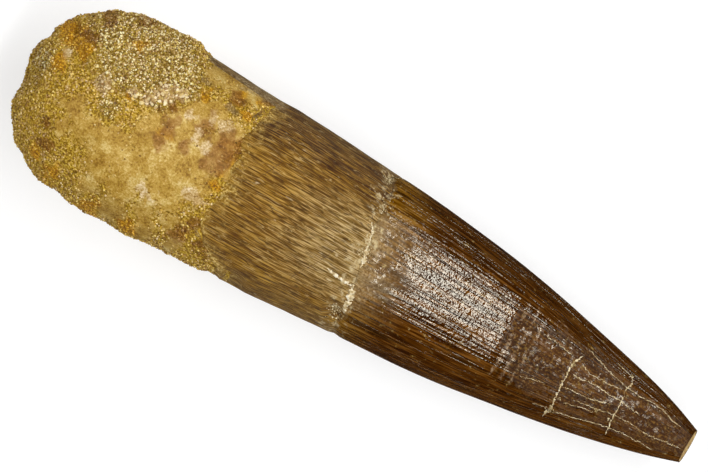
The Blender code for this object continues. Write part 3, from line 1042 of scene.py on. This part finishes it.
def root_colours(recipe, space):
    """Ochre brown dentine with dark pores and pale threads, a painted sheen in the upper middle,
    painted shade on the +Y flank and painted glints.
    """
    fine = streaks(recipe, space, 0.055, 13.0)
    warm, sheen, shaded_flank = (recipe.ramp(fine, tones)
                          for tones in (WARM_TONES, SHEEN_TONES, SHADED_FLANK_TONES))
    # painted sheen: paler tones in the upper middle of the root
    colour = recipe.mix(recipe.attribute("pallor"), warm, sheen)
    # painted shade: darker tones towards the +Y flank of the root
    colour = recipe.mix(recipe.span(recipe.part(space, "X"), 0.35, 0.72), colour, shaded_flank)
    broken = streaks(recipe, space, 0.3, 3.0)
    wide_pores = threads(recipe, space, 2.6, 0.12, 0.035)
    pores = recipe.math("MAXIMUM", threads(recipe, space, 4.2, 0.1, 0.045), wide_pores)
    pores = recipe.times(pores, recipe.span(broken, 0.4, 0.56, 0.1, 0.7))
    colour = recipe.mix(pores, colour, PORES)
    lights = threads(recipe, space, 3.4, 0.12, 0.03)
    lights = recipe.times(lights, recipe.span(broken, 0.56, 0.42, 0.0, 0.5))
    colour = recipe.mix(lights, colour, PALE_THREADS)
    # painted glints: short pale dashes of highlight on the root
    glints = streaks(recipe, space, 0.36, 3.0, detail=1.0)
    colour = recipe.mix(recipe.span(glints, 0.72, 0.8, 0.0, 0.7), colour, GLINTS)
    return colour, recipe.math("SUBTRACT", fine, recipe.times(pores, 0.4))


def enamel_colours(recipe, space, place, scratches):
    """Chocolate enamel: ochre near the break, painted shade in the grooves and on the upper flank,
    and a far end with painted shade, pale painted speckle and painted highlight and shade in bands.
    """
    along = recipe.part(space, "Z")
    shades = streaks(recipe, space, 0.07, 6.0)
    dark, ochre = (recipe.ramp(shades, tones) for tones in (ENAMEL_TONES, OCHRE_TONES))
    colour = recipe.mix(recipe.span(along, 24.5, 29.0), ochre, dark)
    # painted shade on the crown's upper flank, away from the break
    upper = recipe.span(recipe.part(space, "X"), 0.4, 0.85, 0.0, 0.4)
    upper = recipe.times(upper, recipe.span(along, 25.0, 30.0))
    colour = recipe.mix(upper, colour, UPPER_FLANK_SHADE)
    # painted shade in the grooves, with the dark scratches
    lines = recipe.math("MAXIMUM", scratches, recipe.span(recipe.attribute("groove"), 0.3, 0.9))
    colour = recipe.mix(recipe.times(lines, 0.6), colour, GROOVE_SHADE_AND_SCRATCHES)
    # painted shade: the dull far end of the crown is darkened
    end = recipe.times(recipe.attribute("dull"), recipe.span(along, 32.0, 35.0))
    colour = recipe.mix(recipe.times(end, 0.6), colour, FAR_END_SHADE)
    fine = recipe.noise(place, 7.0, detail=2.0)
    # painted highlight: pale speckle on the dull far end, for its dim speckled highlights
    painted_speckle = recipe.times(recipe.span(fine, 0.5, 0.68, 0.0, 0.45), end)
    colour = recipe.mix(painted_speckle, colour, PAINTED_SPECKLE)
    # painted highlight on the crests of the bands, painted shade in their troughs
    banded = recipe.attribute("banded")
    band_highlight = recipe.times(recipe.span(fine, 0.4, 0.6), recipe.span(banded, 0.1, 0.9))
    colour = recipe.mix(recipe.times(band_highlight, 0.75), colour, BAND_HIGHLIGHTS)
    colour = recipe.mix(recipe.span(banded, -0.1, -0.8, 0.0, 0.6), colour, BAND_SHADOWS)
    film = recipe.times(recipe.attribute("pallor"), recipe.span(along, 24.5, 30.0, 0.8, 0.0))
    return recipe.mix(film, colour, recipe.ramp(fine, FILM_TONES))


def tooth_bumps(recipe, place, crown, root_height, scratches):
    """Pits and dents, mostly on the crown, with the root's fibres and the crown's scratches."""
    strength = recipe.span(crown, 0.0, 1.0, 0.2, 1.0)
    pits = recipe.noise(place, 4.4, detail=1.0, roughness=0.5)
    normal = recipe.bump(recipe.times(pits, strength), 0.036)
    dents = recipe.noise(place, 0.9, detail=1.5)
    normal = recipe.bump(recipe.times(dents, strength), 0.07, normal)
    fibres = recipe.times(root_height, recipe.span(crown, 0.0, 1.0, 1.0, 0.0))
    cuts = recipe.times(scratches, recipe.times(crown, -0.4))
    return recipe.bump(recipe.math("ADD", fibres, cuts), 0.05, normal)


def tooth_material():
    """Striped brown dentine on the root, and dark pitted enamel with ridges on the crown."""
    recipe = Recipe("tooth")
    space = recipe.attribute("tooth_space", "Vector")
    crown = recipe.attribute("crown")
    face = recipe.attribute("tip_face")
    place = recipe.place()
    root, root_height = root_colours(recipe, space)
    scratches = threads(recipe, space, 1.5, 0.04, 0.03)
    enamel = enamel_colours(recipe, space, place, scratches)
    chips = recipe.noise(place, 2.6, detail=4.0, roughness=0.65)
    loose = recipe.swing(chips, 2.3)
    scuffs = recipe.math("ADD", recipe.attribute("scuffed"), loose)
    scuffs = recipe.span(scuffs, 0.3, 1.0, 0.0, 0.75)
    colour = recipe.mix(scuffs, recipe.mix(crown, root, enamel), recipe.ramp(chips, SCUFF_TONES))
    speckle = recipe.span(recipe.noise(place, 6.0, detail=3.0, roughness=0.7), 0.34, 0.66)
    colour = stained(recipe, colour, speckle, loose, ROOT_STAINS)
    colour = recipe.mix(face, colour, recipe.ramp(recipe.noise(place, 4.0), TIP_TONES))
    flaws = recipe.span(recipe.noise(place, 3.4, detail=2.0), 0.46, 0.62, 2.0, 0.5)
    dull = recipe.times(recipe.attribute("dull"), flaws)
    worn = recipe.math("ADD", recipe.times(scuffs, 0.7), dull)
    rough = recipe.span(recipe.math("SUBTRACT", crown, worn), -0.4, 1.0, 1.0, 0.09)
    rough = recipe.math("ADD", rough, recipe.times(face, 0.25))
    normal = tooth_bumps(recipe, place, crown, root_height, scratches)
    return recipe.finished(Base_Color=colour, Roughness=rough, Specular_Tint=ENAMEL_SHINE,
                           Normal=normal)


# Colours of the matrix, its stains and the sediment

PALE_TONES = ((0.0, 164, 124, 70), (0.45, 198, 168, 114), (1.0, 246, 230, 198))
RUSTY_TONES = ((0.0, 130, 78, 0), (0.5, 190, 136, 0), (1.0, 232, 186, 50))
DARK_TONES = ((0.0, 84, 46, 0), (0.5, 130, 82, 14), (1.0, 176, 132, 62))
SANDY_TONES = ((0.0, 116, 80, 4), (0.5, 168, 130, 42), (1.0, 224, 196, 118))
DUST_AND_RIM_REFLECTION_TONES = ((0.0, 100, 76, 36), (0.5, 144, 118, 72), (1.0, 196, 176, 132))
FINE_SAND = ((0.0, 106, 72, 0), (0.35, 168, 132, 26), (0.7, 206, 172, 62), (1.0, 242, 218, 136))
COARSE_SAND = ((0.0, 100, 70, 4), (0.3, 164, 132, 36), (0.65, 208, 180, 84), (1.0, 255, 248, 206))
ROSY_SAND = ((0.0, 96, 60, 14), (0.35, 168, 124, 66), (0.7, 206, 170, 118), (1.0, 255, 244, 222))
WAXY_TONES = ((0.0, 132, 92, 20), (0.35, 172, 134, 48), (0.65, 192, 158, 76), (1.0, 218, 194, 128))
SEDIMENT_TONES = ((0.0, 104, 80, 38), (0.5, 166, 144, 94), (1.0, 232, 218, 180))
FILLING_TONES = ((0.35, 140, 112, 66), (0.5, 204, 184, 138), (0.65, 236, 224, 194))
CHALK_TONES = ((0.35, 170, 142, 92), (0.5, 220, 202, 160), (0.65, 244, 236, 214))
HAIRLINE_TONES = ((0.35, 44, 22, 4), (0.5, 70, 38, 10), (0.65, 104, 64, 22))
SHADE_BETWEEN_GRAINS = rgb(104, 74, 12)
MATRIX_STAINS = (  # attribute, tones and strength
    ("orange", RUSTY_TONES, 0.95), ("brown", DARK_TONES, 0.9), ("pale", PALE_TONES, 0.75),
    ("dusty", DUST_AND_RIM_REFLECTION_TONES, 0.75),
)
ROOT_STAINS = (("sandy", SANDY_TONES, 0.9), ("dusty", DUST_AND_RIM_REFLECTION_TONES, 0.55))


def stained(recipe, colour, tone, lot, stains):
    """The colour, changed where attributes say that there is a stain, for a tone from 0 to 1."""
    for name, tones, strength in stains:
        share = recipe.math("ADD", recipe.attribute(name), recipe.times(lot, 0.9))
        share = recipe.span(share, 0.15, 1.1, 0.0, strength)
        colour = recipe.mix(share, colour, recipe.ramp(tone, tones))
    return colour


def sandy_colours(recipe, tone, lot, coarse):
    """Colours of the sand for a tone from 0 to 1, with the stains that the regions carry."""
    colour = recipe.mix(coarse, recipe.ramp(tone, FINE_SAND), recipe.ramp(tone, COARSE_SAND))
    rosy = recipe.span(lot, 0.05, 0.35, 0.0, 0.7)
    colour = recipe.mix(rosy, colour, recipe.ramp(tone, ROSY_SAND))
    return stained(recipe, colour, tone, lot, MATRIX_STAINS)


def waxy_colours(recipe, tone, lot):
    """Colours of the worn, waxy rock for a tone from 0 to 1."""
    return stained(recipe, recipe.ramp(tone, WAXY_TONES), tone, lot, MATRIX_STAINS)


def rock_material():
    """The rock under the grains: waxy tan where it is worn, with painted shade between grains where
    rough.
    """
    recipe = Recipe("matrix_rock")
    place = recipe.place()
    waxy = recipe.attribute("waxy")
    coarse = recipe.attribute("coarse")
    speckle = recipe.noise(place, 7.0, detail=3.0, roughness=0.7)
    mottled = recipe.noise(place, 0.8, detail=6.0, roughness=0.7)
    lot = recipe.swing(recipe.noise(place, 3.5, detail=5.0, roughness=0.75), 2.6)
    tone = recipe.math("ADD", recipe.span(mottled, 0.2, 0.8), recipe.swing(speckle, 1.8))
    smooth = waxy_colours(recipe, tone, lot)
    rough = sandy_colours(recipe, recipe.span(speckle, 0.35, 0.68, 0.0, 0.8), lot, coarse)
    # painted shade between the coarse grains
    rough = recipe.mix(recipe.times(coarse, 0.5), rough, SHADE_BETWEEN_GRAINS)
    colour = recipe.mix(recipe.span(recipe.math("ADD", waxy, lot), 0.2, 0.8), rough, smooth)
    return recipe.finished(Base_Color=colour, Roughness=recipe.span(waxy, 0.0, 1.0, 0.8, 0.5),
                           Specular_IOR_Level=0.25, Normal=recipe.bump(speckle, 0.05))


def grain_material(name, roughness):
    """Sand in the colours of the matrix, each grain with its own tone."""
    recipe = Recipe(name)
    tone = recipe.attribute("tone")
    lot = recipe.attribute("lot")
    sandy = sandy_colours(recipe, tone, lot, recipe.attribute("coarse"))
    colour = recipe.mix(recipe.attribute("waxy"), sandy, waxy_colours(recipe, tone, lot))
    return recipe.finished(Base_Color=colour, Roughness=roughness, Specular_IOR_Level=0.4)


def sediment_material():
    """Greyish sand that lies in the mended break and the cracks."""
    recipe = Recipe("sediment_grains")
    colour = recipe.ramp(recipe.attribute("tone"), SEDIMENT_TONES)
    return recipe.finished(Base_Color=colour, Roughness=0.6)


def vein_material(name, tones):
    """Dried sediment in tones from dark to light."""
    recipe = Recipe(name)
    colour = recipe.ramp(recipe.noise(recipe.place(), 4.0), tones)
    return recipe.finished(Base_Color=colour, Roughness=0.75)


def floor_material():
    """Matt grey that glows, so that it comes out white under weak lights."""
    return Recipe("floor").finished(
        Base_Color=(0.34, 0.34, 0.34, 1.0),
        Roughness=1.0,
        Emission_Color=(1.0, 1.0, 1.0, 1.0),
        Emission_Strength=0.68,
    )


# Studio


FLOOR_HALF = 1500.0
LIGHTS = (  # name, direction, distance, sides along and across the tooth, and watts
    ("overhead_strip", (0.4, 0.24, 1.0), 440.0, (56.0, 980.0), 1.45),
    ("short_strip", (0.4, 0.2, 1.0), 440.0, (56.0, 620.0), 1.25),
    ("root_end_fill", (-1.1, -0.2, 0.9), 600.0, (300.0, 300.0), 1.5),
    ("tip_end_fill", (1.5, 0.0, 0.9), 600.0, (300.0, 300.0), 0.6),
)
WORLD_STRENGTH = 0.02


def build_floor():
    corners = [(x * FLOOR_HALF, y * FLOOR_HALF, 0) for x, y in ((-1, -1), (1, -1), (1, 1), (-1, 1))]
    mesh = bpy.data.meshes.new("floor")
    mesh.from_pydata((np.array(corners) * MM).tolist(), [], [(0, 1, 2, 3)])
    mesh.materials.append(floor_material())
    floor = bpy.data.objects.new("floor", mesh)
    floor.visible_glossy = False  # the enamel in the photograph mirrors the lights alone
    bpy.context.scene.collection.objects.link(floor)


def softbox(name, direction, distance, size, watts):
    """A rectangular light that faces the tooth, its width along the tooth, its length across."""
    light = bpy.data.lights.new(name, "AREA")
    light.shape = "RECTANGLE"
    light.size, light.size_y = (side * MM for side in size)
    light.energy = watts
    lamp = bpy.data.objects.new(name, light)
    towards = Vector(direction).normalized()
    sideways = (Vector((1, 0, 0)) - towards * towards.x).normalized()
    turn = Matrix((sideways, towards.cross(sideways), towards)).transposed()
    lamp.location = towards * distance * MM
    lamp.rotation_mode = "QUATERNION"
    lamp.rotation_quaternion = turn.to_quaternion()
    lamp.visible_camera = False
    bpy.context.scene.collection.objects.link(lamp)


def build_studio():
    for light in LIGHTS:
        softbox(*light)
    world = bpy.data.worlds.new("studio")
    world.use_nodes = True
    background = world.node_tree.nodes["Background"]
    background.inputs["Color"].default_value = (1.0, 1.0, 1.0, 1.0)
    background.inputs["Strength"].default_value = WORLD_STRENGTH
    bpy.context.scene.world = world
    bpy.context.scene.view_settings.view_transform = "Standard"


def build_camera():
    data = bpy.data.cameras.new("photo")
    data.lens = LENS
    data.sensor_width = SENSOR
    camera = bpy.data.objects.new("photo", data)
    camera.location = Vector((*PHOTO_MIDDLE, OUTLINE_HEIGHT + DISTANCE)) * MM
    camera.rotation_euler = (0.0, 0.0, CAMERA_TURN)
    bpy.context.scene.collection.objects.link(camera)
    bpy.context.scene.camera = camera


build_camera()
build_studio()
build_floor()
tooth_finish = tooth_material()
build_root(tooth_finish)
build_crown(tooth_finish)
rock_skin = build_matrix(rock_material())
build_sand(rock_skin, grain_material("coarse_sand", 0.35), grain_material("fine_sand", 0.75))
build_break_sand(sediment_material())
build_veins("crack_filling", CRACKS, vein_material("vein_filling", FILLING_TONES), 600, 0.025)
build_veins("chalk_seam", CHALK_SEAMS, vein_material("chalk", CHALK_TONES), 610, 0.05)
build_veins("hairlines", HAIRLINES, vein_material("hairline", HAIRLINE_TONES), 620, 0.012)
